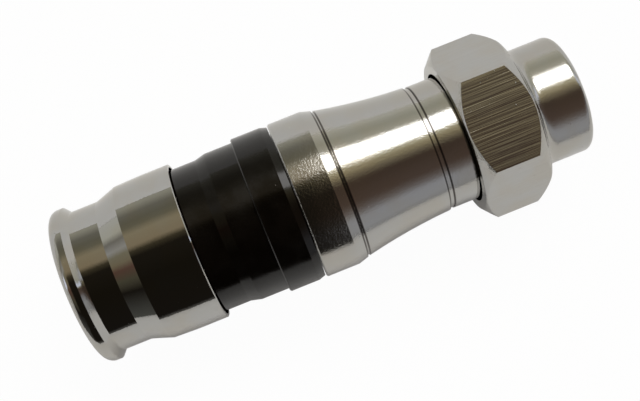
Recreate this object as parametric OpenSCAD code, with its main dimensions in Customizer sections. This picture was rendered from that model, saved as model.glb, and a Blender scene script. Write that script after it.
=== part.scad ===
// Compression F connector for thick coaxial cable, lying on a flat of its nut.
// The axis runs along X. The nut's mouth is at x = 0 and faces +X, and Z is up.
// Every length is in millimetres. Stations along the axis are worked out from
// the mouth backwards, so each piece follows the one that it seats on.

/* [Cable] */
// Jacket of the cable that the connector takes
jacket_d = 10.3; // [10:0.05:10.8]
// Foil-covered dielectric of the cable
dielectric_d = 7.1; // [6.9:0.02:7.2]
// Centre conductor of the cable
conductor_d = 1.63; // [1.5:0.01:1.7]
// Radial gap round the jacket in the sleeve's cable entry
entry_gap = 0.35; // [0.2:0.05:0.6]
// Radial gap round the jacket in the grip bush
bush_gap = 0.15; // [0.15:0.05:0.35]
// Radial gap round the jacket inside the rear body, where the post spreads it
spread_gap = 0.55; // [0.4:0.05:0.7]
// Radial gap round the dielectric in the post
post_gap = 0.13; // [0.05:0.01:0.2]
// Radial gap round the conductor in the contact pin
conductor_gap = 0.035; // [0.02:0.005:0.06]

/* [Coupling nut] */
// Hexagon, flat to flat
hex_across = 14.29; // [13.6:0.05:16]
// Length of the hexagon
hex_len = 6.32; // [5.6:0.02:8]
// How far inside the flats the chamfers reach on the hexagon's end faces
chamfer_inset = 0.1; // [0:0.05:0.4]
// Length of the front chamfer along the axis
hex_front_chamfer = 1.31; // [0.6:0.01:1.8]
// Length of the rear chamfer along the axis
hex_rear_chamfer = 1.05; // [0.3:0.01:1.4]
// Minor diameter of the port thread, 3/8-32
thread_minor_d = 8.74; // [8.6:0.02:9.2]
// Depth of the port thread, from the mouth to the contact face
thread_depth = 5.2; // [4.4:0.1:6]
// Lead-in chamfer of the port thread
thread_lead = 0.45; // [0.1:0.05:0.5]
// Wall of the round collar over the thread's minor diameter
collar_wall = 1.16; // [1:0.02:1.5]
// Fillet between the collar and the hexagon
neck_fillet_r = 1.3; // [0.4:0.05:1.6]
// Rounding of the collar's front edge
mouth_round_r = 0.7; // [0.2:0.05:0.7]
// Thickness of the nut's inner flange
web_len = 1.45; // [1:0.05:2]
// Depth of the recess behind the inner flange
recess_depth = 3.36; // [2.8:0.02:4]
// Radial gap between the recess and the body's nose
recess_gap = 0.3; // [0.15:0.05:0.45]

/* [Front body] */
// Nose that the nut turns on
nose_d = 11.8; // [11.2:0.05:12.2]
// Length of the nose, from its front face to the front groove
nose_len = 5.77; // [4.6:0.01:7.5]
// Width of the front turned groove
front_groove_w = 0.45; // [0.2:0.05:0.6]
// Depth of both turned grooves
groove_depth = 0.1; // [0.05:0.01:0.2]
// Length of the flared stretch between the grooves
flare_len = 8.25; // [6:0.05:12]
// How far ahead of the front groove the sweep of the flare levels out
flare_tail = 2.4; // [1:0.1:3]
// Wall over the rear socket at the wide end of the flare
flare_wall = 0.6; // [0.45:0.01:0.75]
// Width of the rear turned groove
rear_groove_w = 0.25; // [0.15:0.05:0.5]
// Length of the taper behind the rear groove
taper_len = 0.95; // [0.4:0.05:2]
// Height of that taper's front edge over the flare
taper_rise = 0.08; // [0.02:0.01:0.15]
// Length of the rear land
land_len = 3.15; // [2.5:0.05:5]
// Chamfer on the body's rear edge
land_chamfer = 0.12; // [0.05:0.01:0.3]
// Open chamber round the contact
chamber_d = 9; // [8:0.1:9.6]

/* [Nut seal] */
// Thickness of the seal ring
seal_section = 1.2; // [0.9:0.05:1.3]
// Land between the seal groove and the nose's front face
seal_setback = 0.8; // [0.5:0.05:1]

/* [Contact ferrule] */
// Radial gap between the thread and the flange that holds the nut on
flange_gap = 0.27; // [0.15:0.01:0.35]
// Height of that flange over the shank
flange_step = 0.5; // [0.4:0.05:0.8]
// Thickness of that flange
ferrule_flange_len = 1.2; // [0.8:0.05:1.6]
// Length of shank inside the front body
ferrule_grip = 4.5; // [3:0.1:6]
// Wall of the shank
ferrule_wall = 1; // [0.6:0.05:1.3]

/* [Contact pin] */
// Front pin
pin_d = 1; // [0.8:0.02:1.1]
// How far the pin stands out of the nut's mouth
pin_reach = 1; // [0:0.1:2]
// Rounded point of the pin
pin_point = 0.35; // [0.1:0.05:0.4]
// Step from the pin to its thicker root inside the front insulator
root_step = 0.25; // [0.2:0.05:0.4]
// Wall of the tube that grips the conductor
tube_wall = 0.45; // [0.3:0.05:0.7]
// Depth of the conductor bore
conductor_depth = 6; // [4:0.1:7]
// Number of slots in the tube
pin_slots = 4; // [2:1:4]
// Width of each slot
pin_slot_w = 0.3; // [0.2:0.05:0.4]
// Length of each slot
pin_slot_len = 4.6; // [3:0.1:5]

/* [Insulators] */
// Setback of the front insulator in the ferrule
front_setback = 0.2; // [0.05:0.05:0.5]
// Thickness of the front insulator's flange
front_flange_len = 1.3; // [0.8:0.05:2]
// Depth of the pocket that the pin's shoulder seats in
shoulder_pocket = 0.9; // [0.4:0.05:1.2]
// Ledge that the rear insulator seats on
guide_ledge = 0.5; // [0.3:0.05:0.9]
// Thickness of the rear insulator
guide_len = 2.2; // [1.8:0.05:3]
// Depth of pin tube inside the rear insulator
guide_grip = 1; // [0.5:0.05:1.2]
// Radial gap round the pin's conductor bore at the rear insulator's throat
throat_gap = 0.2; // [0.17:0.01:0.4]
// Mouth of the rear insulator's funnel
funnel_d = 6; // [4:0.1:7]
// Length of the funnel
funnel_len = 0.8; // [0.4:0.05:0.9]

/* [Cable post] */
// Wall of the post's tube
post_wall = 0.37; // [0.3:0.01:0.5]
// Thickness of the post's flange
post_flange_len = 1.3; // [0.8:0.05:2]
// Length of tube behind the flange
post_len = 17; // [13:0.1:19]
// Height of the barb
barb_h = 0.32; // [0.1:0.01:0.4]
// Length of the barb's ramp
barb_len = 1.6; // [1:0.1:2.5]

/* [Rear body] */
// Wall of the spigot inside the front body
spigot_wall = 0.73; // [0.6:0.01:0.9]
// Length of that spigot
spigot_len = 3.5; // [2.5:0.05:4]
// Gap between the rear body's shoulder and the front body
body_gap = 0.1; // [0.05:0.01:0.3]
// Taper in front of the shoulder
shoulder_taper = 0.65; // [0.3:0.05:1]
// Height of that taper
shoulder_drop = 0.2; // [0.1:0.05:0.4]
// Length of the front shoulder, without its taper
shoulder_len = 2.8; // [2:0.05:4]
// Length of the middle step, which the sleeve closes over
middle_len = 2.63; // [2:0.01:4]
// Height of the ramp behind the middle step
ramp_rise = 0.25; // [0.1:0.01:0.4]
// Length of that ramp
ramp_len = 1; // [0.3:0.05:1.5]
// Wall at the rear step
rear_step_wall = 0.83; // [0.7:0.01:1.1]
// Length of the rear step that shows behind the ramp
rear_step_len = 2.25; // [1.5:0.05:3.5]
// Length of the tapered nose under the sleeve
tail_len = 1.2; // [0.8:0.05:1.6]
// Wall at the end of that nose
tail_wall = 0.3; // [0.2:0.01:0.5]
// Length of the taper that squeezes the grip bush
squeeze_len = 1.3; // [0.8:0.05:2]

/* [Compression sleeve] */
// Travel of the sleeve when the connector is pressed closed
stroke = 5.95; // [4:0.05:6]
// Wall of the barrel
barrel_wall = 0.28; // [0.22:0.01:0.5]
// How far ahead of the inner cone the outer cone starts
cone_lead = 0.73; // [0.5:0.01:0.9]
// Length of the faint taper between the cone and the barrel
cone_blend = 2.5; // [0.3:0.1:4]
// Height of that taper
blend_rise = 0.09; // [0.02:0.01:0.12]
// Length of the cone
cone_len = 1.95; // [1.9:0.05:3]
// Wall of the neck over the grip bush
neck_wall = 0.68; // [0.55:0.01:0.8]
// Length of the neck
neck_len = 2.56; // [1.8:0.02:4]
// Flare between the neck and the rim
rim_flare = 0.55; // [0.2:0.05:0.8]
// Height of the rim over the neck
rim_rise = 0.62; // [0.4:0.01:0.9]
// Thickness of the rim
rim_len = 1.27; // [1.2:0.01:2]
// Rounding of the rim's rear edge
rim_round_r = 0.85; // [0.3:0.05:1.1]
// Chamfer on the barrel's front edge
edge_chamfer = 0.08; // [0.04:0.01:0.12]
// Chamfer round the cable entry
entry_chamfer = 0.4; // [0.1:0.05:0.5]

/* [Grip bush] */
// Wall of the grip bush
bush_wall = 0.65; // [0.5:0.01:0.75]
// How far the bush reaches into the rear body before the sleeve is pressed
bush_lead = 3; // [2:0.1:4]
// Chamfer on the bush's front edge
bush_chamfer = 0.2; // [0.05:0.05:0.3]
// Number of grip ribs inside the bush's front end
bush_ribs = 3; // [1:1:4]
// Height of the ribs
rib_h = 0.12; // [0.05:0.01:0.2]
// Distance from one rib to the next
rib_pitch = 0.8; // [0.6:0.05:1]

/* [Fits] */
// Radial gap where one piece slides or turns in another
running_gap = 0.05; // [0.04:0.01:0.06]
// Radial gap where one piece is pressed into another
seat_gap = 0.02; // [0.01:0.005:0.03]
// Radial gap between the nut's inner flange and the ferrule's shank
web_gap = 0.15; // [0.1:0.01:0.25]
// Endwise gap between the nut and what it turns against
end_gap = 0.05; // [0.03:0.01:0.1]
// Gap left between the sleeve and the shoulder when it is closed
stop_gap = 0.05; // [0.03:0.01:0.1]

/* [Hidden] */
// Segments of a full turn
round_fn = 180;
// Overshoot of a cut past the face that it opens
cut = 1;

nickel = [0.66, 0.65, 0.62];
bright_nickel = [0.74, 0.73, 0.70];
plated_brass = [0.80, 0.66, 0.36];
tinned_brass = [0.70, 0.69, 0.64];
black_plastic = [0.06, 0.06, 0.065];
grey_plastic = [0.22, 0.22, 0.23];
white_plastic = [0.90, 0.90, 0.87];
seal_rubber = [0.10, 0.10, 0.10];

// Stations of the nut and of the ferrule that holds it
face_x = -thread_depth;
flange_rear_x = face_x - ferrule_flange_len;
web_front_x = flange_rear_x - end_gap;
web_rear_x = web_front_x - web_len;
nut_rear_x = web_rear_x - recess_depth;
hex_front_x = nut_rear_x + hex_len;
hex_corner_r = hex_across / 2 / cos(30);
hex_face_d = hex_across - 2 * chamfer_inset;
recess_d = nose_d + 2 * recess_gap;
collar_d = thread_minor_d + 2 * collar_wall;
ferrule_flange_d = thread_minor_d - 2 * flange_gap;
ferrule_shank_d = ferrule_flange_d - 2 * flange_step;
ferrule_bore_d = ferrule_shank_d - 2 * ferrule_wall;
web_bore_d = ferrule_shank_d + 2 * web_gap;
neck_r = min(neck_fillet_r, (hex_face_d - collar_d) / 2 - 0.1);

// Diameters that follow from the cable, from the inside out
entry_d = jacket_d + 2 * entry_gap;
bush_bore_d = jacket_d + 2 * bush_gap;
bush_d = bush_bore_d + 2 * bush_wall;
bush_seat_d = bush_d + 2 * seat_gap;
bush_guide_d = bush_d + 2 * running_gap;
tail_d = bush_guide_d + 2 * tail_wall;
rear_step_d = bush_guide_d + 2 * rear_step_wall;
middle_d = rear_step_d + 2 * ramp_rise;
sleeve_tail_d = tail_d + 2 * running_gap;
sleeve_step_d = rear_step_d + 2 * running_gap;
sleeve_bore_d = middle_d + 2 * running_gap;
neck_d = bush_seat_d + 2 * neck_wall;
rim_d = neck_d + 2 * rim_rise;
spread_d = jacket_d + 2 * spread_gap;
spigot_d = spread_d + 2 * spigot_wall;
socket_d = spigot_d + 2 * seat_gap;
flare_d = socket_d + 2 * flare_wall;
taper_d = flare_d + 2 * taper_rise;
post_bore_d = dielectric_d + 2 * post_gap;
post_tube_d = post_bore_d + 2 * post_wall;
conductor_bore_d = conductor_d + 2 * conductor_gap;
socket_tube_d = conductor_bore_d + 2 * tube_wall;
guide_d = chamber_d + 2 * guide_ledge;
// The sleeve's barrel, the rear body's shoulder and the front body's land are flush
outer_d = sleeve_bore_d + 2 * barrel_wall;
cone_d = outer_d - 2 * blend_rise;

// Stations along the outside of the front body
nose_x = web_rear_x - end_gap;
front_groove_x = nose_x - nose_len;
flare_front_x = front_groove_x - front_groove_w;
flare_rear_x = flare_front_x - flare_len;
taper_x = flare_rear_x - rear_groove_w;
land_x = taper_x - taper_len;
body_rear_x = land_x - land_len;

// The flare is one hollow arc that levels out at the nose's diameter
sweep_x = front_groove_x + flare_tail;
sweep_run = sweep_x - flare_rear_x;
sweep_rise = (flare_d - nose_d) / 2;
sweep_r = (sweep_run ^ 2 + sweep_rise ^ 2) / (2 * sweep_rise);

// The seal ring sits in a groove near the front of the nose
seal_outer_d = recess_d - 2 * running_gap;
seal_groove_d = seal_outer_d - 2 * seal_section - 2 * seat_gap;
seal_groove_front_x = nose_x - seal_setback;
seal_x = seal_groove_front_x - seal_section / 2 - seat_gap;
seal_groove_rear_x = seal_x - seal_section / 2 - seat_gap;

// Stations along the outside of the rear body
shoulder_front_x = body_rear_x - body_gap;
spigot_front_x = shoulder_front_x + spigot_len;
shoulder_x = shoulder_front_x - shoulder_taper;
middle_front_x = shoulder_x - shoulder_len;
ramp_front_x = middle_front_x - middle_len;
ramp_rear_x = ramp_front_x - ramp_len;
tail_front_x = ramp_rear_x - rear_step_len;
tail_rear_x = tail_front_x - tail_len;

// Stations inside the front body
insulator_face_x = face_x - front_setback;
ledge_x = nose_x - ferrule_grip;
front_flange_rear_x = ledge_x - front_flange_len;
pin_shoulder_x = front_flange_rear_x + shoulder_pocket;
post_front_x = spigot_front_x + post_flange_len;
post_rear_x = spigot_front_x - post_len;
guide_front_x = post_front_x + guide_len;
pin_rear_x = guide_front_x - guide_grip;

// Stations of the sleeve and its bush before they are pressed forward. Its inside
// follows the rear body's steps, moved back by the stroke.
sleeve_front_x = middle_front_x - stop_gap - stroke;
sleeve_back = stroke + 2 * stop_gap;
cone_front_x = tail_front_x - sleeve_back + cone_lead;
neck_front_x = cone_front_x - cone_len;
neck_rear_x = neck_front_x - neck_len;
rim_front_x = neck_rear_x - rim_flare;
sleeve_rear_x = rim_front_x - rim_len;
bush_front_x = tail_rear_x + bush_lead;
squeeze_x = bush_front_x + stroke + stop_gap;

// Turns a half profile, drawn as radius by station, about the X axis
module turned() {
    rotate([0, 90, 0]) rotate_extrude($fn = round_fn) children();
}

// Half profile of a ring between two diameters and two stations
module ring(inner_d, outer_d, rear_x, front_x) {
    translate([inner_d / 2, rear_x]) square([(outer_d - inner_d) / 2, front_x - rear_x]);
}

// What rounding takes off an outer corner at radius r and station x. The corner's
// face looks forwards where way is 1, and backwards where it is -1.
module round_off(r, x, round_r, way) {
    difference() {
        translate([r - round_r, way > 0 ? x - round_r : x - cut]) square(round_r + cut);
        translate([r - round_r, x - way * round_r]) circle(round_r, $fn = 96);
    }
}

// Fillet in the corner between a cylinder of radius r and a face at x that looks forwards
module fill_in(r, x, fillet_r) {
    difference() {
        translate([r - fillet_r, x - fillet_r]) square(2 * fillet_r);
        translate([r + fillet_r, x + fillet_r]) circle(fillet_r, $fn = 96);
    }
}

// Solid hexagon with its end faces turned down to circles, with flats facing up and down
module chamfered_hexagon() {
    // The turning cones run past the corners
    past = 1.2;
    rise = past * (hex_corner_r - hex_face_d / 2);
    intersection() {
        translate([nut_rear_x, 0, 0]) rotate([0, 90, 0]) rotate([0, 0, 30])
            cylinder(r = hex_corner_r, h = hex_len, $fn = 6);
        turned() polygon([
            [0, nut_rear_x],
            [hex_face_d / 2, nut_rear_x],
            [hex_face_d / 2 + rise, nut_rear_x + past * hex_rear_chamfer],
            [hex_face_d / 2 + rise, hex_front_x - past * hex_front_chamfer],
            [hex_face_d / 2, hex_front_x],
            [0, hex_front_x]
        ]);
    }
}

// Nut: hexagon, hollow neck fillet and round collar, bored for the port thread, with an
// inner flange that the ferrule holds and a recess for the body's nose behind it
module coupling_nut() {
    color(nickel) difference() {
        union() {
            chamfered_hexagon();
            turned() difference() {
                union() {
                    ring(0, collar_d, hex_front_x - hex_len / 2, 0);
                    fill_in(collar_d / 2, hex_front_x, neck_r);
                }
                round_off(collar_d / 2, 0, mouth_round_r, 1);
            }
        }
        turned() polygon([
            [0, nut_rear_x - cut],
            [recess_d / 2, nut_rear_x - cut],
            [recess_d / 2, web_rear_x],
            [web_bore_d / 2, web_rear_x],
            [web_bore_d / 2, web_front_x],
            [thread_minor_d / 2, web_front_x],
            [thread_minor_d / 2, -thread_lead],
            [thread_minor_d / 2 + thread_lead, 0],
            [thread_minor_d / 2 + thread_lead, cut],
            [0, cut]
        ]);
    }
}

// Round seal between the nut's recess and the groove on the nose
module nut_seal() {
    color(seal_rubber) turned()
        translate([(seal_outer_d - seal_section) / 2, seal_x]) circle(d = seal_section, $fn = 48);
}

// Flanged tube that is pressed into the nose: it keeps the nut on and meets the port's face
module contact_ferrule() {
    edge = 0.15;
    shank_r = ferrule_shank_d / 2;
    bore_r = ferrule_bore_d / 2;
    color(bright_nickel) turned() polygon([
        [bore_r, ledge_x],
        [shank_r - edge, ledge_x],
        [shank_r, ledge_x + edge],
        [shank_r, flange_rear_x],
        [ferrule_flange_d / 2, flange_rear_x],
        [ferrule_flange_d / 2, face_x - edge],
        [ferrule_flange_d / 2 - edge, face_x],
        [bore_r, face_x]
    ]);
}

// Front insulator: a sleeve in the ferrule, with a flange behind it that holds the pin's shoulder
module front_insulator() {
    sleeve_r = ferrule_bore_d / 2 - seat_gap;
    flange_r = chamber_d / 2 - seat_gap;
    pin_hole_r = pin_d / 2 + root_step + seat_gap;
    pocket_r = socket_tube_d / 2 + seat_gap;
    color(white_plastic) turned() polygon([
        [pocket_r, front_flange_rear_x],
        [flange_r, front_flange_rear_x],
        [flange_r, ledge_x],
        [sleeve_r, ledge_x],
        [sleeve_r, insulator_face_x],
        [pin_hole_r, insulator_face_x],
        [pin_hole_r, pin_shoulder_x],
        [pocket_r, pin_shoulder_x]
    ]);
}

// Contact: a thin front pin with a round point, and a slotted tube that grips the conductor
module contact_pin() {
    tube_r = socket_tube_d / 2;
    bore_r = conductor_bore_d / 2;
    lead = 0.2;
    color(plated_brass) difference() {
        turned() difference() {
            union() {
                ring(0, pin_d, insulator_face_x - cut, pin_reach);
                ring(0, pin_d + 2 * root_step, pin_shoulder_x - cut, insulator_face_x);
                ring(0, socket_tube_d, pin_rear_x, pin_shoulder_x);
            }
            round_off(pin_d / 2, pin_reach, pin_point, 1);
            polygon([
                [0, pin_rear_x - cut],
                [bore_r + lead, pin_rear_x - cut],
                [bore_r + lead, pin_rear_x],
                [bore_r, pin_rear_x + lead],
                [bore_r, pin_rear_x + conductor_depth],
                [0, pin_rear_x + conductor_depth + bore_r / 2]
            ]);
        }
        for (i = [0 : pin_slots - 1]) rotate([45 + i * 360 / pin_slots, 0, 0])
            translate([pin_rear_x - cut, -pin_slot_w / 2, 0])
                cube([pin_slot_len + cut, pin_slot_w, tube_r + cut]);
    }
}

// Rear insulator: carries the rear of the pin and leads the conductor into it
module rear_insulator() {
    outer_r = guide_d / 2 - seat_gap;
    tube_hole_r = socket_tube_d / 2 + seat_gap;
    throat_r = conductor_bore_d / 2 + throat_gap;
    color(white_plastic) turned() polygon([
        [funnel_d / 2, post_front_x],
        [outer_r, post_front_x],
        [outer_r, guide_front_x],
        [tube_hole_r, guide_front_x],
        [tube_hole_r, pin_rear_x],
        [throat_r, pin_rear_x],
        [throat_r, post_front_x + funnel_len]
    ]);
}

// Front body: nose with the seal groove, two fine grooves round a hollow flare, and a rear
// land, bored in steps for the ferrule, the chamber, the rear insulator and the post
module front_body() {
    nose_edge = 0.2;
    nose_r = nose_d / 2;
    // The flare starts as a plain band that the sweep then cuts down
    band_r = flare_d / 2 + 0.5;
    color(nickel) turned() difference() {
        polygon([
            [0, body_rear_x],
            [outer_d / 2 - land_chamfer, body_rear_x],
            [outer_d / 2, body_rear_x + land_chamfer],
            [outer_d / 2, land_x],
            [taper_d / 2, taper_x],
            [flare_d / 2 - groove_depth, taper_x],
            [flare_d / 2 - groove_depth, flare_rear_x],
            [band_r, flare_rear_x],
            [band_r, flare_front_x],
            [nose_r - groove_depth, flare_front_x],
            [nose_r - groove_depth, front_groove_x],
            [nose_r, front_groove_x],
            [nose_r, seal_groove_rear_x],
            [seal_groove_d / 2, seal_groove_rear_x],
            [seal_groove_d / 2, seal_groove_front_x],
            [nose_r, seal_groove_front_x],
            [nose_r, nose_x - nose_edge],
            [nose_r - nose_edge, nose_x],
            [0, nose_x]
        ]);
        intersection() {
            ring(nose_d / 2, 2 * band_r + cut, flare_rear_x, flare_front_x);
            translate([nose_r + sweep_r, sweep_x]) circle(sweep_r, $fn = 720);
        }
        polygon([
            [0, body_rear_x - cut],
            [socket_d / 2, body_rear_x - cut],
            [socket_d / 2, post_front_x],
            [guide_d / 2, post_front_x],
            [guide_d / 2, guide_front_x],
            [chamber_d / 2, guide_front_x],
            [chamber_d / 2, ledge_x],
            [ferrule_shank_d / 2 + seat_gap, ledge_x],
            [ferrule_shank_d / 2 + seat_gap, nose_x + cut],
            [0, nose_x + cut]
        ]);
    }
}

// Post: a thin tube that slides between the cable's dielectric and its braid, with a barb
module cable_post() {
    bore_r = post_bore_d / 2;
    tube_r = post_tube_d / 2;
    flange_r = socket_d / 2 - seat_gap;
    tip = 0.12;
    color(tinned_brass) turned() polygon([
        [bore_r, post_rear_x],
        [bore_r + tip, post_rear_x],
        [tube_r + barb_h, post_rear_x + barb_len],
        [tube_r, post_rear_x + barb_len + tip],
        [tube_r, spigot_front_x],
        [flange_r, spigot_front_x],
        [flange_r, post_front_x],
        [bore_r, post_front_x]
    ]);
}

// Rear body: the moulded piece between the two metal ones, with a spigot in the front body,
// a shoulder, two steps with a ramp between them and a nose under the sleeve
module rear_body() {
    edge = 0.1;
    spread_r = spread_d / 2;
    guide_r = bush_guide_d / 2;
    color(black_plastic) turned() polygon([
        [guide_r, tail_rear_x],
        [tail_d / 2, tail_rear_x],
        [rear_step_d / 2, tail_front_x],
        [rear_step_d / 2, ramp_rear_x],
        [middle_d / 2, ramp_front_x],
        [middle_d / 2, middle_front_x],
        [outer_d / 2 - edge, middle_front_x],
        [outer_d / 2, middle_front_x + edge],
        [outer_d / 2, shoulder_x],
        [outer_d / 2 - shoulder_drop, shoulder_front_x],
        [spigot_d / 2, shoulder_front_x],
        [spigot_d / 2, spigot_front_x],
        [spread_r, spigot_front_x],
        [spread_r, squeeze_x + squeeze_len],
        [guide_r, squeeze_x]
    ]);
}

// Compression sleeve: barrel, cone, neck and rolled rim, with the cable entry at its rear
module compression_sleeve() {
    entry_r = entry_d / 2;
    color(bright_nickel) turned() difference() {
        polygon([
            [entry_r + entry_chamfer, sleeve_rear_x],
            [rim_d / 2, sleeve_rear_x],
            [rim_d / 2, rim_front_x],
            [neck_d / 2, neck_rear_x],
            [neck_d / 2, neck_front_x],
            [cone_d / 2, cone_front_x],
            [outer_d / 2, cone_front_x + cone_blend],
            [outer_d / 2, sleeve_front_x - edge_chamfer],
            [outer_d / 2 - edge_chamfer, sleeve_front_x],
            [sleeve_bore_d / 2, sleeve_front_x],
            [sleeve_bore_d / 2, ramp_front_x - sleeve_back],
            [sleeve_step_d / 2, ramp_rear_x - sleeve_back],
            [sleeve_step_d / 2, tail_front_x - sleeve_back],
            [sleeve_tail_d / 2, tail_rear_x - sleeve_back],
            [bush_seat_d / 2, tail_rear_x - sleeve_back],
            [bush_seat_d / 2, rim_front_x],
            [entry_r, rim_front_x],
            [entry_r, sleeve_rear_x + entry_chamfer]
        ]);
        round_off(rim_d / 2, sleeve_rear_x, rim_round_r, -1);
    }
}

// Grip bush: carried in the sleeve's neck and pushed into the rear body, where it is
// squeezed down on the cable's jacket
module grip_bush() {
    outer_r = bush_d / 2;
    bore_r = bush_bore_d / 2;
    color(grey_plastic) turned() polygon([
        [bore_r, rim_front_x],
        [outer_r, rim_front_x],
        [outer_r, bush_front_x - bush_chamfer],
        [outer_r - bush_chamfer, bush_front_x],
        // Each rib has a face that looks forwards and a ramp behind it
        for (i = [0 : bush_ribs - 1])
            let (x = bush_front_x - i * rib_pitch)
                each [[bore_r - rib_h, x], [bore_r, x - rib_pitch * 0.6]],
    ]);
}

coupling_nut();
nut_seal();
contact_ferrule();
front_insulator();
contact_pin();
rear_insulator();
front_body();
cable_post();
rear_body();
compression_sleeve();
grip_bush();
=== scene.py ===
# %% [markdown]
# # A compression F connector for thick coaxial cable
#
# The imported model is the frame. It has every piece at its real size and place, in metres, with
# the axis along X, the nut's mouth at x = 0 and Z up. This script gives the pieces their
# finishes, cuts the port thread into the nut, and sets the floor, the light and the camera.

from math import cos, pi, radians, sin, tan

import bmesh
import bpy
from mathutils import Matrix, Vector


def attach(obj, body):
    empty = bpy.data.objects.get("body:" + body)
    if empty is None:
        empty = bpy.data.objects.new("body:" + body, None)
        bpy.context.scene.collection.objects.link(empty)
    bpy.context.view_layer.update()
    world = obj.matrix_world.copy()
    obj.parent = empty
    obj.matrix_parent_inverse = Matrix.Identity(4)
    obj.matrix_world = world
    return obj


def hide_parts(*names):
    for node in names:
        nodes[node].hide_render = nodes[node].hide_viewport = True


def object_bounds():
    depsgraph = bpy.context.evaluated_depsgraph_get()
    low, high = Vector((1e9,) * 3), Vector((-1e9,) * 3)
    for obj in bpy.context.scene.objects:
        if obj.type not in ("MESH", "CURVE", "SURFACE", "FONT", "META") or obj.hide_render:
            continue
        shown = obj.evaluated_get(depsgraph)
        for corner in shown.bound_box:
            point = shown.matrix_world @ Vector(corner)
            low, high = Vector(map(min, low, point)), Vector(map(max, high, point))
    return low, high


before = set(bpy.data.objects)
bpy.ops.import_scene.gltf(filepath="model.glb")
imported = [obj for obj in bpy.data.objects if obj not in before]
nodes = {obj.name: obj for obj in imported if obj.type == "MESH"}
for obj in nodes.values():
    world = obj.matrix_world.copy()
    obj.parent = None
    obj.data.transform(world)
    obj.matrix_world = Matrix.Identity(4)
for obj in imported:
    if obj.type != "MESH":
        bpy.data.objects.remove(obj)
cad_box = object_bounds()
MM = 0.001

low, high = cad_box
print("the connector is %.1f mm long and %.1f mm across its corners"
      % ((high[0] - low[0]) / MM, (high[1] - low[1]) / MM))

# %% [markdown]
# ## Camera
#
# The connector is seen from straight above, from close by, so its near parts look a little
# larger than its ends. The camera stands above the rear half, aims at a point beside the
# axis, and is rolled so that the axis climbs to the right. Turning the connector would give
# the same view, but its pieces have to stay where the frame puts them.

# %% Camera
CAMERA_PLACE = Vector((-28.0, 0, 97)) * MM
CAMERA_AIM = Vector((-24.8, -0.75, 0)) * MM
CAMERA_ROLL = radians(21.9)


def add_camera(place, aim, roll, lens):
    """Aims a camera so that the X axis climbs to the right by the roll."""
    forward = (aim - place).normalized()
    level = Vector((1, 0, 0))
    level = (level - forward * level.dot(forward)).normalized()
    down = forward.cross(level)
    right = cos(roll) * level + sin(roll) * down
    up = right.cross(forward)
    camera = bpy.data.objects.new("camera", bpy.data.cameras.new("camera"))
    camera.matrix_world = Matrix.Translation(place) @ Matrix((right, up, -forward)).transposed().to_4x4()
    camera.data.lens = lens
    camera.data.sensor_width = 36
    camera.data.clip_start = 1 * MM
    camera.data.clip_end = 20
    bpy.context.scene.collection.objects.link(camera)
    bpy.context.scene.camera = camera
    return camera


camera = add_camera(CAMERA_PLACE, CAMERA_AIM, CAMERA_ROLL, lens=60)
bpy.context.scene.view_settings.view_transform = "Standard"
print("camera at", [round(v / MM, 1) for v in camera.location], "mm")

# %% [markdown]
# ## Node helpers
#
# Every material and the world are trees of nodes. These helpers keep each tree short to read:
# `add` makes a node and fills its inputs, and `new_group` makes a shared group with named sockets.

# %% Node helpers
def add(tree, kind, inputs=None, **settings):
    """Adds a node, sets its own settings, and fills or links its inputs."""
    node = tree.nodes.new(kind)
    for name, value in settings.items():
        setattr(node, name, value)
    for key, value in (inputs or {}).items():
        socket = node.inputs[key]
        if isinstance(value, bpy.types.NodeSocket):
            tree.links.new(value, socket)
        else:
            socket.default_value = value
    return node


def maths(tree, operation, a, b=0.0, c=0.0, clamp=False):
    return add(tree, "ShaderNodeMath", {0: a, 1: b, 2: c}, operation=operation, use_clamp=clamp).outputs[0]


def step(tree, value, start, end, low=0.0, high=1.0):
    """Rises smoothly from low to high while the value goes from start to end."""
    node = add(tree, "ShaderNodeMapRange", {"Value": value, "From Min": start, "From Max": end,
               "To Min": low, "To Max": high}, interpolation_type="SMOOTHSTEP")
    return node.outputs["Result"]


def blend(tree, factor, below, above, kind="MIX"):
    node = add(tree, "ShaderNodeMix", {"Factor": factor}, data_type="RGBA", blend_type=kind)
    for socket, value in ((node.inputs[6], below), (node.inputs[7], above)):
        if isinstance(value, bpy.types.NodeSocket):
            tree.links.new(value, socket)
        else:
            socket.default_value = (*value, 1)
    return node.outputs[2]


# %% [markdown]
# ## Surroundings
#
# Plated metal has hardly any colour of its own, and shows its surroundings. They are drawn
# into the world by two angles of the direction in which a ray leaves: `turn`, round the
# connector's axis from straight up, and `lean`, along the axis. The room is dark overhead, with
# a soft lamp above the front half, a tan wall beside it and paler walls low down. A card or a
# lamp object could make each patch, but angles keep the whole room in one short tree.

# %% Directions in the room
WHITE = (1, 1, 1)
world = bpy.data.worlds.new("studio")
bpy.context.scene.world = world
world.use_nodes = True
sky = world.node_tree
sky.nodes.clear()

ray = add(sky, "ShaderNodeTexCoord").outputs["Generated"]
part = add(sky, "ShaderNodeSeparateXYZ", {0: ray})
turn = maths(sky, "MULTIPLY", maths(sky, "ARCTAN2", part.outputs["Y"], part.outputs["Z"]), 180 / pi)
lean = maths(sky, "MULTIPLY", maths(sky, "ARCSINE", part.outputs["X"]), 180 / pi)


def window(value, start, end, soft):
    """1 between start and end, and 0 outside, with soft edges, all in degrees."""
    rise = step(sky, value, start - soft / 2, start + soft / 2)
    fall = step(sky, value, end - soft / 2, end + soft / 2, 1, 0)
    return maths(sky, "MULTIPLY", rise, fall)


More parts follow.
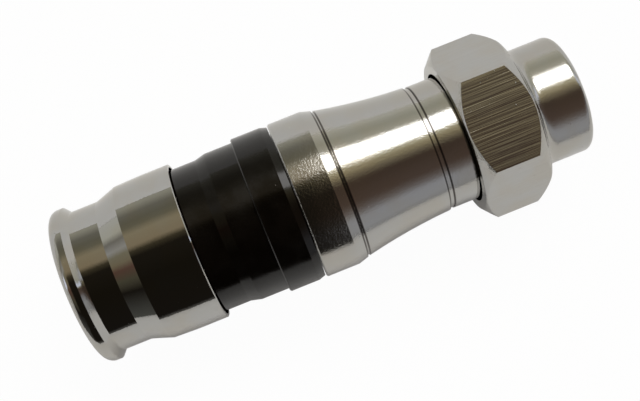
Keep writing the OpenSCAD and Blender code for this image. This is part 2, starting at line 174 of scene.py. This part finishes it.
def wall(*stops):
    """A ramp of colours round the axis: each stop is a turn in degrees and its colour."""
    first, last = stops[0][0], stops[-1][0]
    place = maths(sky, "DIVIDE", maths(sky, "SUBTRACT", turn, first), last - first, clamp=True)
    ramp = add(sky, "ShaderNodeValToRGB", {"Fac": place})
    elements = ramp.color_ramp.elements
    while len(elements) < len(stops):
        elements.new(0.5)
    for element, (angle, colour) in zip(elements, stops):
        element.position = (angle - first) / (last - first)
        element.color = (*colour, 1)
    return ramp.outputs["Color"]


# %% Walls of the room
# Over the rear half, seen in the sleeve
rear_wall = wall((-100, (0.30, 0.29, 0.27)), (-86, (0.012, 0.010, 0.008)), (-20, (0.011, 0.009, 0.006)),
                 (12, (0.016, 0.013, 0.009)), (20, (0.06, 0.05, 0.03)), (27, (0.30, 0.245, 0.16)),
                 (44, (0.32, 0.275, 0.185)), (54, (0.18, 0.165, 0.115)), (62, (0.16, 0.15, 0.11)),
                 (74, (0.19, 0.18, 0.145)), (86, (0.36, 0.345, 0.28)), (98, (0.46, 0.45, 0.38)))
# Over the front half, seen in the flare, the nut and its collar
front_wall = wall((-100, (0.24, 0.23, 0.22)), (-82, (0.38, 0.38, 0.39)), (-62, (0.37, 0.37, 0.39)),
                  (-50, (0.18, 0.155, 0.145)), (-38, (0.10, 0.07, 0.055)), (-4, (0.07, 0.048, 0.034)),
                  (3, (0.18, 0.15, 0.10)), (12, (0.36, 0.30, 0.18)), (20, (0.60, 0.54, 0.36)),
                  (52, (0.55, 0.52, 0.43)), (70, (0.42, 0.41, 0.33)), (96, (0.66, 0.64, 0.57)))
# Behind the rear end, seen in the sleeve's cone
rear_end = wall((-100, (0.10, 0.10, 0.09)), (-40, (0.012, 0.010, 0.008)), (-27, (0.06, 0.055, 0.04)),
                (-18, (0.085, 0.08, 0.055)), (2, (0.125, 0.07, 0.052)), (14, (0.22, 0.185, 0.12)),
                (28, (0.24, 0.22, 0.155)), (38, (0.38, 0.375, 0.36)), (54, (0.22, 0.21, 0.185)),
                (66, (0.52, 0.51, 0.44)), (98, (0.56, 0.55, 0.51)))
# Beyond the nut's mouth, seen in the fillet and the rim
front_end = wall((-100, (0.26, 0.26, 0.26)), (-78, (0.38, 0.39, 0.41)), (-60, (0.22, 0.21, 0.22)),
                 (-42, (0.11, 0.08, 0.065)), (0, (0.09, 0.065, 0.05)), (12, (0.30, 0.27, 0.18)),
                 (22, (0.80, 0.85, 1.0)), (40, (0.80, 0.85, 1.0)), (52, (0.42, 0.41, 0.34)),
                 (96, (0.58, 0.57, 0.53)))

room = blend(sky, step(sky, lean, 3, 8), rear_wall, front_wall)
room = blend(sky, step(sky, lean, -24, -34), room, rear_end)
room = blend(sky, step(sky, lean, 44, 62), room, front_end)
REAR_CARD = (0.50, 0.49, 0.46)
room = blend(sky, step(sky, lean, -62, -72), room, REAR_CARD)
print("four walls in the room, with", len(sky.nodes), "nodes so far")

# %% Lamps of the room
ROOM_LEVEL = 1.15
LAMP_GLOW = (4.0, 3.95, 3.85)
REAR_LAMP_GLOW = (0.95, 0.98, 1.15)
lamp = maths(sky, "MULTIPLY", window(turn, 25, 50, 4), window(lean, 5.5, 42, 4))
room = blend(sky, lamp, room, LAMP_GLOW)
rear_lamp = maths(sky, "MULTIPLY", window(turn, 12, 40, 8), window(lean, -82, -58, 8))
room = blend(sky, rear_lamp, room, REAR_LAMP_GLOW)
room = add(sky, "ShaderNodeVectorMath", {0: room, "Scale": ROOM_LEVEL}, operation="SCALE").outputs[0]
seen = add(sky, "ShaderNodeLightPath").outputs["Is Camera Ray"]
room = blend(sky, seen, room, WHITE)
light = add(sky, "ShaderNodeBackground", {"Color": room, "Strength": 1.0})
add(sky, "ShaderNodeOutputWorld", {"Surface": light.outputs[0]})

# %% [markdown]
# ## Floor and matt light
#
# The connector lies on white paper. Seen straight, the paper is nearly pure white, but it keeps
# a faint shadow. Two soft lamps light the matt pieces and the paper. A tent of bright cards
# could do it too, but would show in the metal. The lamps aren't mirrored there, because the
# room is.

# %% Floor
FLOOR_SIZE = 1.2
PAPER = (0.80, 0.80, 0.80)
# How much of the paper's white is its own, seen straight and in a mirror
SEEN_WHITE = 0.97
MIRRORED_WHITE = 0.10


def add_floor(height):
    half = FLOOR_SIZE / 2
    mesh = bpy.data.meshes.new("floor")
    mesh.from_pydata([(-half, -half, height), (half, -half, height), (half, half, height),
                      (-half, half, height)], [], [(0, 1, 2, 3)])
    floor = bpy.data.objects.new("floor", mesh)
    bpy.context.scene.collection.objects.link(floor)
    material = bpy.data.materials.new("white_paper")
    material.use_nodes = True
    tree = material.node_tree
    tree.nodes.clear()
    path = add(tree, "ShaderNodeLightPath")
    matt = add(tree, "ShaderNodeBsdfDiffuse", {"Color": (*PAPER, 1)})
    glow = add(tree, "ShaderNodeEmission", {"Color": (*WHITE, 1), "Strength": 1.0})
    straight = maths(tree, "MULTIPLY", path.outputs["Is Camera Ray"], SEEN_WHITE)
    mirror = maths(tree, "MAXIMUM", path.outputs["Is Glossy Ray"], path.outputs["Is Transmission Ray"])
    own = maths(tree, "MAXIMUM", straight, maths(tree, "MULTIPLY", mirror, MIRRORED_WHITE))
    surface = add(tree, "ShaderNodeMixShader", {0: own, 1: matt.outputs[0], 2: glow.outputs[0]})
    add(tree, "ShaderNodeOutputMaterial", {"Surface": surface.outputs[0]})
    mesh.materials.append(material)
    return floor


floor = add_floor(low[2])
print("floor %.2f mm under the axis" % (-low[2] / MM))


# %% Matt lamps
def add_lamp(name, place, aim, size, watts):
    """A soft square lamp that lights matt surfaces, and isn't mirrored in the metal."""
    lamp = bpy.data.lights.new(name, "AREA")
    lamp.size = size
    lamp.energy = watts
    thing = bpy.data.objects.new(name, lamp)
    thing.location = place
    thing.rotation_euler = (aim - Vector(place)).to_track_quat("-Z", "Y").to_euler()
    thing.visible_glossy = False
    thing.visible_camera = False
    bpy.context.scene.collection.objects.link(thing)
    return thing


middle = Vector((low[0] / 2, 0, 0))
add_lamp("overhead_lamp", (-0.02, 0.20, 0.55), middle, 0.6, 1.6)
add_lamp("side_lamp", (0.3, 0.35, 0.3), middle, 0.4, 0.5)
print("two matt lamps")

# %% [markdown]
# ## Shared effects
#
# Four effects turn up in more than one finish, so each is a node group with named inputs:
#
# - `grain`: the ripple of a plated surface, or the lines of a drawn bar where it is stretched
#   along the axis. It puts out a height.
# - `haze`: slow, cloudy changes of gloss, as handling leaves them.
# - `specks`: sparse dots, such as dust or pinholes.
# - `ring_band`: a band round the axis at a station, where shade is painted into a groove.

# %% Group helper
def new_group(name, inputs, outputs):
    """A shader node group: inputs is a list of (name, kind, value), outputs of (name, kind)."""
    group = bpy.data.node_groups.new(name, "ShaderNodeTree")
    for label, kind, value in inputs:
        socket = group.interface.new_socket(label, in_out="INPUT", socket_type="NodeSocket" + kind)
        socket.default_value = value
    for label, kind in outputs:
        group.interface.new_socket(label, in_out="OUTPUT", socket_type="NodeSocket" + kind)
    entry = group.nodes.new("NodeGroupInput")
    leave = group.nodes.new("NodeGroupOutput")
    return group, entry.outputs, leave.inputs


def place_group(tree, group, **inputs):
    node = tree.nodes.new("ShaderNodeGroup")
    node.node_tree = group
    for name, value in inputs.items():
        node.inputs[name.replace("_", " ")].default_value = value
    return node.outputs


# %% Grain
def make_grain():
    group, given, result = new_group(
        "grain", [("Size", "Float", 0.2), ("Stretch", "Float", 1.0), ("Fine", "Float", 0.4)],
        [("Height", "Float")])
    place = add(group, "ShaderNodeTexCoord").outputs["Object"]
    # The size is in millimetres, and a noise cell is one unit
    scale = maths(group, "DIVIDE", 1 / MM, given["Size"])
    along = maths(group, "DIVIDE", scale, given["Stretch"])
    sizes = add(group, "ShaderNodeCombineXYZ", {0: along, 1: scale, 2: scale}).outputs[0]
    spot = add(group, "ShaderNodeVectorMath", {0: place, 1: sizes}, operation="MULTIPLY").outputs[0]
    coarse = add(group, "ShaderNodeTexNoise", {"Vector": spot, "Scale": 1.0, "Detail": 1.0}).outputs["Fac"]
    fine = add(group, "ShaderNodeTexNoise", {"Vector": spot, "Scale": 2.6, "Detail": 1.0}).outputs["Fac"]
    height = maths(group, "MULTIPLY_ADD", fine, given["Fine"], coarse)
    group.links.new(height, result["Height"])
    return group


grain = make_grain()
print("grain has", len(grain.nodes), "nodes")


# %% Haze
def make_haze():
    group, given, result = new_group(
        "haze", [("Size", "Float", 3.0), ("Low", "Float", 0.1), ("High", "Float", 0.2)],
        [("Amount", "Float"), ("Cloud", "Float")])
    place = add(group, "ShaderNodeTexCoord").outputs["Object"]
    scale = maths(group, "DIVIDE", 1 / MM, given["Size"])
    noise = add(group, "ShaderNodeTexNoise", {"Vector": place, "Scale": scale, "Detail": 3.0}).outputs["Fac"]
    cloud = step(group, noise, 0.35, 0.65)
    spread = maths(group, "SUBTRACT", given["High"], given["Low"])
    group.links.new(maths(group, "MULTIPLY_ADD", cloud, spread, given["Low"]), result["Amount"])
    group.links.new(cloud, result["Cloud"])
    return group


haze = make_haze()
print("haze has", len(haze.nodes), "nodes")


# %% Specks
def make_specks():
    group, given, result = new_group(
        "specks", [("Spacing", "Float", 1.0), ("Size", "Float", 0.05), ("Share", "Float", 0.5)],
        [("Mask", "Float")])
    place = add(group, "ShaderNodeTexCoord").outputs["Object"]
    scale = maths(group, "DIVIDE", 1 / MM, given["Spacing"])
    cells = add(group, "ShaderNodeTexVoronoi", {"Vector": place, "Scale": scale})
    reach = maths(group, "DIVIDE", given["Size"], given["Spacing"])
    dot = maths(group, "LESS_THAN", cells.outputs["Distance"], reach)
    # Each cell has a colour of its own, which decides whether it holds a speck
    chance = add(group, "ShaderNodeSeparateColor", {0: cells.outputs["Color"]}).outputs[0]
    kept = maths(group, "LESS_THAN", chance, given["Share"])
    group.links.new(maths(group, "MULTIPLY", dot, kept), result["Mask"])
    return group


specks = make_specks()
print("specks has", len(specks.nodes), "nodes")


# %% Ring band
def make_ring_band():
    group, given, result = new_group(
        "ring_band", [("Station", "Float", 0.0), ("Half Width", "Float", 0.1), ("Soft", "Float", 0.05)],
        [("Mask", "Float")])
    place = add(group, "ShaderNodeTexCoord").outputs["Object"]
    along = add(group, "ShaderNodeSeparateXYZ", {0: place}).outputs["X"]
    station = maths(group, "DIVIDE", along, MM)
    off = maths(group, "ABSOLUTE", maths(group, "SUBTRACT", station, given["Station"]))
    beyond = maths(group, "SUBTRACT", off, given["Half Width"])
    past = maths(group, "DIVIDE", beyond, given["Soft"], clamp=True)
    group.links.new(maths(group, "SUBTRACT", 1.0, past), result["Mask"])
    return group


ring_band = make_ring_band()
print("ring_band has", len(ring_band.nodes), "nodes")

# %% [markdown]
# ## Nickel plate
#
# The brass pieces are plated with nickel. It is a little warm, and its edges reflect more than
# its face, which the metallic shader does by itself. The body, the nose and the nut's collar
# show the ripple of a heavy plate, which frays the edges of the lamp's reflection. The sleeve is
# thin drawn metal and almost a mirror. A picture of scratches could draw the ripple, but noise
# on Object coordinates has no seam, and keeps its size on every piece.

# %% Nickel plate
NICKEL = (0.47, 0.47, 0.46)
WARM_NICKEL = (0.47, 0.455, 0.42)
# Painted glint: the pinholes of the body's plate are lighter in colour
PIT_GLINT = (0.75, 0.74, 0.70)


def new_finish(name):
    """An empty material and its shader, ready for its nodes."""
    material = bpy.data.materials.new(name)
    material.use_nodes = True
    tree = material.node_tree
    return material, tree, tree.nodes["Principled BSDF"]


def bump(tree, height, depth, strength=1.0, normal=None):
    """Turns a height of 0 to 1 into a normal. The depth of the relief is in millimetres."""
    inputs = {"Height": height, "Strength": strength, "Distance": depth * MM}
    if normal is not None:
        inputs["Normal"] = normal
    return add(tree, "ShaderNodeBump", inputs).outputs["Normal"]


# Stations of the turned grooves' walls, in millimetres from the mouth
GROOVE_WALLS = (-13.72, -14.17, -22.42, -22.67)
# Painted shade: a dark grey laid over the grooves' walls, where shade falls in them
GROOVE_PAINTED_SHADE = (0.06, 0.05, 0.045)
GROOVE_SHADE_SHARE = 0.85


def body_nickel():
    """Plate over a turned body: a fine ripple, a faint cloud of gloss, painted glints at the pinholes and
    painted shade in the grooves.
    """
    material, tree, shader = new_finish("body_nickel_plate")
    ripple = place_group(tree, grain, Size=0.15, Stretch=1.2, Fine=0.5)["Height"]
    cloud = place_group(tree, haze, Size=4.0, Low=0.07, High=0.13)
    pits = place_group(tree, specks, Spacing=0.9, Size=0.045, Share=0.35)["Mask"]
    colour = blend(tree, cloud["Cloud"], NICKEL, WARM_NICKEL)
    # Painted glints: the pinholes are bump and real, their lighter colour is painted light
    colour = blend(tree, pits, colour, PIT_GLINT)
    # Painted shade: each groove wall is darkened in the plate's colour
    for station in GROOVE_WALLS:
        groove_shade_mask = place_group(tree, ring_band, Station=station, Half_Width=0.05, Soft=0.06)["Mask"]
        colour = blend(tree, maths(tree, "MULTIPLY", groove_shade_mask, GROOVE_SHADE_SHARE), colour, GROOVE_PAINTED_SHADE)
    relief = bump(tree, ripple, 0.006)
    relief = bump(tree, pits, 0.006, normal=relief)
    tree.links.new(colour, shader.inputs["Base Color"])
    tree.links.new(cloud["Amount"], shader.inputs["Roughness"])
    tree.links.new(relief, shader.inputs["Normal"])
    shader.inputs["Metallic"].default_value = 1
    return material


def sleeve_nickel():
    """Bright plate over thin drawn metal: nearly a mirror, with long faint lines and dust."""
    material, tree, shader = new_finish("sleeve_bright_nickel")
    lines = place_group(tree, grain, Size=0.5, Stretch=0.25, Fine=0.6)["Height"]
    cloud = place_group(tree, haze, Size=3.0, Low=0.03, High=0.08)
    dust = place_group(tree, specks, Spacing=1.6, Size=0.05, Share=0.3)["Mask"]
    colour = blend(tree, cloud["Cloud"], NICKEL, WARM_NICKEL)
    rough = maths(tree, "MAXIMUM", cloud["Amount"], maths(tree, "MULTIPLY", dust, 0.5))
    tree.links.new(colour, shader.inputs["Base Color"])
    tree.links.new(rough, shader.inputs["Roughness"])
    tree.links.new(bump(tree, lines, 0.0025), shader.inputs["Normal"])
    shader.inputs["Metallic"].default_value = 1
    return material


nodes["front_body"].material_slots[0].material = body_nickel()
bright = sleeve_nickel()
nodes["compression_sleeve"].material_slots[0].material = bright
nodes["contact_ferrule"].material_slots[0].material = bright
print("nickel on the front body, the sleeve and the ferrule")

# %% [markdown]
# ## Nut
#
# The nut is turned from drawn hexagon bar. Its flats keep the lines of the drawing, which run
# along the axis, and its turned parts are rippled like the body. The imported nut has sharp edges
# and a plain bore at the thread's minor diameter. A copy of it gets small rounded edges, which
# catch the lamp, and the port thread: 3/8 inch across and 32 turns to the inch.
#
# The groove of a thread is one profile that follows one path, so Geometry Nodes make it: a
# spiral, a V-shaped profile swept along it, and a Boolean that cuts it from the nut. The tree
# works in millimetres, because the cut is more reliable on sizes near one.

# %% Copy of the nut with rounded edges
EDGE_ROUND = 0.06 * MM
SHARP = radians(25)


def merged_copy(node_name, name):
    """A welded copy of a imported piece, with its flat faces whole."""
    mesh = nodes[node_name].data.copy()
    mesh.name = name
    form = bmesh.new()
    form.from_mesh(mesh)
    bmesh.ops.remove_doubles(form, verts=form.verts, dist=0.001 * MM)
    bmesh.ops.dissolve_limit(form, angle_limit=radians(0.5), verts=form.verts, edges=form.edges)
    form.to_mesh(mesh)
    form.free()
    piece = bpy.data.objects.new(name, mesh)
    bpy.context.scene.collection.objects.link(piece)
    return piece


nut = merged_copy("coupling_nut", "threaded_nut")
if nut.data.has_custom_normals:
    with bpy.context.temp_override(object=nut, active_object=nut, selected_objects=[nut]):
        bpy.ops.mesh.customdata_custom_splitnormals_clear()
rounding = nut.modifiers.new("rounding", "BEVEL")
rounding.width = EDGE_ROUND
rounding.segments = 2
rounding.limit_method = "ANGLE"
rounding.angle_limit = SHARP
print("the welded nut has", len(nut.data.vertices), "points and", len(nut.data.polygons), "faces")

# %% Thread cutter
PITCH = 25.4 / 32
BORE_R = 8.74 / 2
ROOT_R = BORE_R + 0.39
THREAD_DEPTH = 5.0


def make_thread_tree():
    """Cuts a V-shaped groove along a spiral into the bore of a nut that lies along X."""
    tree = bpy.data.node_groups.new("port_thread", "GeometryNodeTree")
    tree.interface.new_socket("Geometry", in_out="INPUT", socket_type="NodeSocketGeometry")
    for label, value in (("Pitch", PITCH), ("Bore Radius", BORE_R), ("Root Radius", ROOT_R),
                         ("Depth", THREAD_DEPTH)):
        socket = tree.interface.new_socket(label, in_out="INPUT", socket_type="NodeSocketFloat")
        socket.default_value = value
    tree.interface.new_socket("Metal", in_out="INPUT", socket_type="NodeSocketMaterial")
    tree.interface.new_socket("Geometry", in_out="OUTPUT", socket_type="NodeSocketGeometry")
    given = tree.nodes.new("NodeGroupInput").outputs
    result = tree.nodes.new("NodeGroupOutput").inputs

    # The spiral is one pitch longer than the thread, so that the groove runs out of the mouth
    length = maths(tree, "ADD", given["Depth"], given["Pitch"])
    turns = maths(tree, "DIVIDE", length, given["Pitch"])
    path = add(tree, "GeometryNodeCurveSpiral", {"Resolution": 90, "Rotations": turns,
               "Start Radius": given["Bore Radius"], "End Radius": given["Bore Radius"], "Height": length,
               "Reverse": True})
    path = add(tree, "GeometryNodeSetCurveNormal", {"Curve": path.outputs[0]}, mode="Z_UP")

    # A V of 60 degrees with a flat root. Its wide end starts a little inside the bore.
    deep = maths(tree, "SUBTRACT", given["Root Radius"], given["Bore Radius"])
    inside = maths(tree, "MULTIPLY", deep, -0.3)
    root_half = maths(tree, "DIVIDE", given["Pitch"], 16)
    open_half = maths(tree, "MULTIPLY_ADD", maths(tree, "MULTIPLY", deep, 1.3), tan(radians(30)), root_half)
    corners = []
    for reach, half, way in ((inside, open_half, 1), (inside, open_half, -1), (deep, root_half, -1),
                             (deep, root_half, 1)):
        side = maths(tree, "MULTIPLY", half, way)
        corners.append(add(tree, "ShaderNodeCombineXYZ", {0: reach, 1: side}).outputs[0])
    profile = add(tree, "GeometryNodeCurvePrimitiveQuadrilateral",
                  {"Point %d" % (i + 1): corner for i, corner in enumerate(corners)}, mode="POINTS")
    groove = add(tree, "GeometryNodeCurveToMesh", {"Curve": path.outputs[0],
                 "Profile Curve": profile.outputs[0], "Fill Caps": True})

    # The spiral climbs along Z, so it is turned to lie along X with its start in the bore
    inner_end = add(tree, "ShaderNodeCombineXYZ", {0: maths(tree, "MULTIPLY", given["Depth"], -1)})
    laid = add(tree, "GeometryNodeTransform", {"Geometry": groove.outputs[0],
               "Translation": inner_end.outputs[0], "Rotation": (0, pi / 2, 0)})
    large = add(tree, "GeometryNodeTransform", {"Geometry": given["Geometry"], "Scale": (1 / MM,) * 3})
    cut = add(tree, "GeometryNodeMeshBoolean", {0: large.outputs[0], 1: laid.outputs[0]},
              operation="DIFFERENCE", solver="EXACT")
    small = add(tree, "GeometryNodeTransform", {"Geometry": cut.outputs[0], "Scale": (MM,) * 3})
    real = add(tree, "GeometryNodeRealizeInstances", {"Geometry": small.outputs[0]})
    metal = add(tree, "GeometryNodeSetMaterial", {"Geometry": real.outputs[0], "Material": given["Metal"]})
    tree.links.new(metal.outputs[0], result[0])
    return tree


thread_tree = make_thread_tree()
print("thread of %.3f mm pitch, %.2f mm deep in the wall" % (PITCH, ROOT_R - BORE_R))

# %% [markdown]
# One material covers the nut. A mask tells its flats from its turned faces: a flat lies behind
# the collar and further from the axis than any turned face. Two materials would need the faces
# sorted, and the mask reads only where a point is.

# %% Nut material
# In millimetres: where the flats begin, and a radius between the turned faces and the flats
HEX_FRONT = -4.94
TURNED_R = 6.9


def nut_nickel():
    """Plate over drawn hexagon bar: lines along the flats, and ripple on the turned parts."""
    material, tree, shader = new_finish("nut_nickel_plate")
    place = add(tree, "ShaderNodeTexCoord").outputs["Object"]
    part = add(tree, "ShaderNodeSeparateXYZ", {0: place}).outputs
    station = maths(tree, "DIVIDE", part["X"], MM)
    squares = maths(tree, "ADD", maths(tree, "MULTIPLY", part["Y"], part["Y"]),
                    maths(tree, "MULTIPLY", part["Z"], part["Z"]))
    radius = maths(tree, "DIVIDE", maths(tree, "SQRT", squares), MM)
    # The flats lie behind the collar, and outside every turned face of the nut
    behind = step(tree, station, HEX_FRONT - 0.05, HEX_FRONT - 0.2)
    outside = step(tree, radius, TURNED_R, TURNED_R + 0.1)
    flat = maths(tree, "MULTIPLY", behind, outside)

    drawn = place_group(tree, grain, Size=0.18, Stretch=60.0, Fine=0.8)["Height"]
    bar = place_group(tree, grain, Size=0.6, Stretch=40.0, Fine=0.5)["Height"]
    ripple = place_group(tree, grain, Size=0.15, Stretch=1.2, Fine=0.5)["Height"]
    pits = place_group(tree, specks, Spacing=0.75, Size=0.05, Share=0.45)["Mask"]
    cloud = place_group(tree, haze, Size=3.0, Low=0.10, High=0.17)
    streaks = maths(tree, "ADD", drawn, maths(tree, "MULTIPLY", bar, 1.6))
    lines = bump(tree, maths(tree, "MULTIPLY", streaks, flat), 0.012)
    rippled = maths(tree, "MULTIPLY", ripple, maths(tree, "SUBTRACT", 1.0, flat))
    relief = bump(tree, rippled, 0.006, normal=lines)
    relief = bump(tree, maths(tree, "MULTIPLY", pits, flat), 0.02, normal=relief)
    colour = blend(tree, cloud["Cloud"], NICKEL, WARM_NICKEL)
    tree.links.new(colour, shader.inputs["Base Color"])
    rough = maths(tree, "MAXIMUM", cloud["Amount"], maths(tree, "MULTIPLY", pits, 0.7))
    tree.links.new(rough, shader.inputs["Roughness"])
    tree.links.new(relief, shader.inputs["Normal"])
    shader.inputs["Metallic"].default_value = 1
    return material


nut_metal = nut_nickel()

# %% [markdown]
# The modifiers are turned into one plain mesh, which then rides on the nut's body in place of
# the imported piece. Its shading is smooth, with sharp edges where faces meet at more than
# `SHARP`, and the large flats set the normals of their small roundings.

# %% Thread in the nut
def set_input(modifier, label, value):
    """Sets a named input of a Geometry Nodes modifier by its socket's identifier."""
    for item in modifier.node_group.interface.items_tree:
        if item.item_type == "SOCKET" and item.in_out == "INPUT" and item.name == label:
            modifier[item.identifier] = value


def bake(piece):
    """Turns a piece and its modifiers into one plain mesh, shaded smooth up to its edges."""
    bpy.context.view_layer.update()
    solid = piece.evaluated_get(bpy.context.evaluated_depsgraph_get())
    mesh = bpy.data.meshes.new_from_object(solid)
    piece.modifiers.clear()
    piece.data = mesh
    mesh.shade_smooth()
    mesh.set_sharp_from_angle(angle=SHARP)
    return piece


def flatten_shading(piece):
    """Large faces set the normals at their edges, so that flats look flat up to their rounding."""
    weighted = piece.modifiers.new("weighted", "WEIGHTED_NORMAL")
    weighted.keep_sharp = True
    bpy.context.view_layer.update()
    solid = piece.evaluated_get(bpy.context.evaluated_depsgraph_get())
    mesh = bpy.data.meshes.new_from_object(solid)
    piece.modifiers.clear()
    piece.data = mesh


threading = nut.modifiers.new("threading", "NODES")
threading.node_group = thread_tree
set_input(threading, "Metal", nut_metal)
bake(nut)
flatten_shading(nut)
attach(nut, "nut")
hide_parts("coupling_nut")
print("the threaded nut has", len(nut.data.vertices), "points and", len(nut.data.polygons), "faces")

# %% [markdown]
# ## Plastics, rubber and the small metal pieces
#
# The rear body is moulded in gloss black, which mirrors the paper in grey bands along its sides
# and hardly shows the dark room. The grip bush is a matt grey, the insulators are milky and let a
# little light in, and the contact is plated brass. The matt pieces share one function, because
# they differ only in their colours, gloss and grain.

# %% Black plastic
BLACK_SHEEN = 0.36


def gloss_black():
    material, tree, shader = new_finish("gloss_black_plastic")
    swirl = place_group(tree, grain, Size=0.7, Stretch=0.5, Fine=0.5)["Height"]
    cloud = place_group(tree, haze, Size=2.5, Low=0.10, High=0.20)
    dust = place_group(tree, specks, Spacing=1.5, Size=0.05, Share=0.35)["Mask"]
    colour = blend(tree, cloud["Cloud"], (0.0018, 0.0012, 0.0007), (0.0028, 0.0020, 0.0013))
    colour = blend(tree, dust, colour, (0.16, 0.15, 0.14))
    tree.links.new(colour, shader.inputs["Base Color"])
    tree.links.new(cloud["Amount"], shader.inputs["Roughness"])
    tree.links.new(bump(tree, swirl, 0.004), shader.inputs["Normal"])
    shader.inputs["Specular IOR Level"].default_value = BLACK_SHEEN
    return material


nodes["rear_body"].material_slots[0].material = gloss_black()


# %% Grey plastic, milky insulators and rubber
def moulded(name, colour, other, low_gloss, high_gloss, size, depth):
    """A matt moulded finish: two close colours in slow clouds, and a fine grain."""
    material, tree, shader = new_finish(name)
    cloud = place_group(tree, haze, Size=size, Low=low_gloss, High=high_gloss)
    skin = place_group(tree, grain, Size=0.12, Stretch=1.0, Fine=0.5)["Height"]
    tree.links.new(blend(tree, cloud["Cloud"], colour, other), shader.inputs["Base Color"])
    tree.links.new(cloud["Amount"], shader.inputs["Roughness"])
    tree.links.new(bump(tree, skin, depth), shader.inputs["Normal"])
    return material, shader


grey, _ = moulded("matt_grey_plastic", (0.055, 0.055, 0.058), (0.075, 0.075, 0.078), 0.38, 0.52, 2.0, 0.004)
MILKY = (0.82, 0.81, 0.77)
PALE_MILKY = (0.88, 0.875, 0.84)
milky, milky_shader = moulded("milky_insulator", MILKY, PALE_MILKY, 0.28, 0.40, 1.5, 0.003)
milky_shader.inputs["Subsurface Weight"].default_value = 0.15
milky_shader.inputs["Subsurface Radius"].default_value = (0.4 * MM, 0.4 * MM, 0.4 * MM)
rubber, _ = moulded("seal_rubber", (0.016, 0.016, 0.016), (0.026, 0.025, 0.024), 0.55, 0.72, 1.0, 0.004)
nodes["grip_bush"].material_slots[0].material = grey
nodes["nut_seal"].material_slots[0].material = rubber
nodes["front_insulator"].material_slots[0].material = milky
nodes["rear_insulator"].material_slots[0].material = milky
print("grey, milky and rubber finishes")


# %% Contact and post
def small_metal(name, colour, other, low_gloss, high_gloss):
    material, tree, shader = new_finish(name)
    cloud = place_group(tree, haze, Size=1.2, Low=low_gloss, High=high_gloss)
    turned = place_group(tree, grain, Size=0.5, Stretch=0.12, Fine=0.5)["Height"]
    tree.links.new(blend(tree, cloud["Cloud"], colour, other), shader.inputs["Base Color"])
    tree.links.new(cloud["Amount"], shader.inputs["Roughness"])
    tree.links.new(bump(tree, turned, 0.003), shader.inputs["Normal"])
    shader.inputs["Metallic"].default_value = 1
    return material


nodes["contact_pin"].material_slots[0].material = small_metal(
    "pin_plate", (0.80, 0.62, 0.30), (0.74, 0.60, 0.34), 0.14, 0.24)
nodes["cable_post"].material_slots[0].material = small_metal(
    "tinned_post", (0.66, 0.655, 0.62), (0.60, 0.59, 0.55), 0.24, 0.38)
print("finishes on the contact and the post")
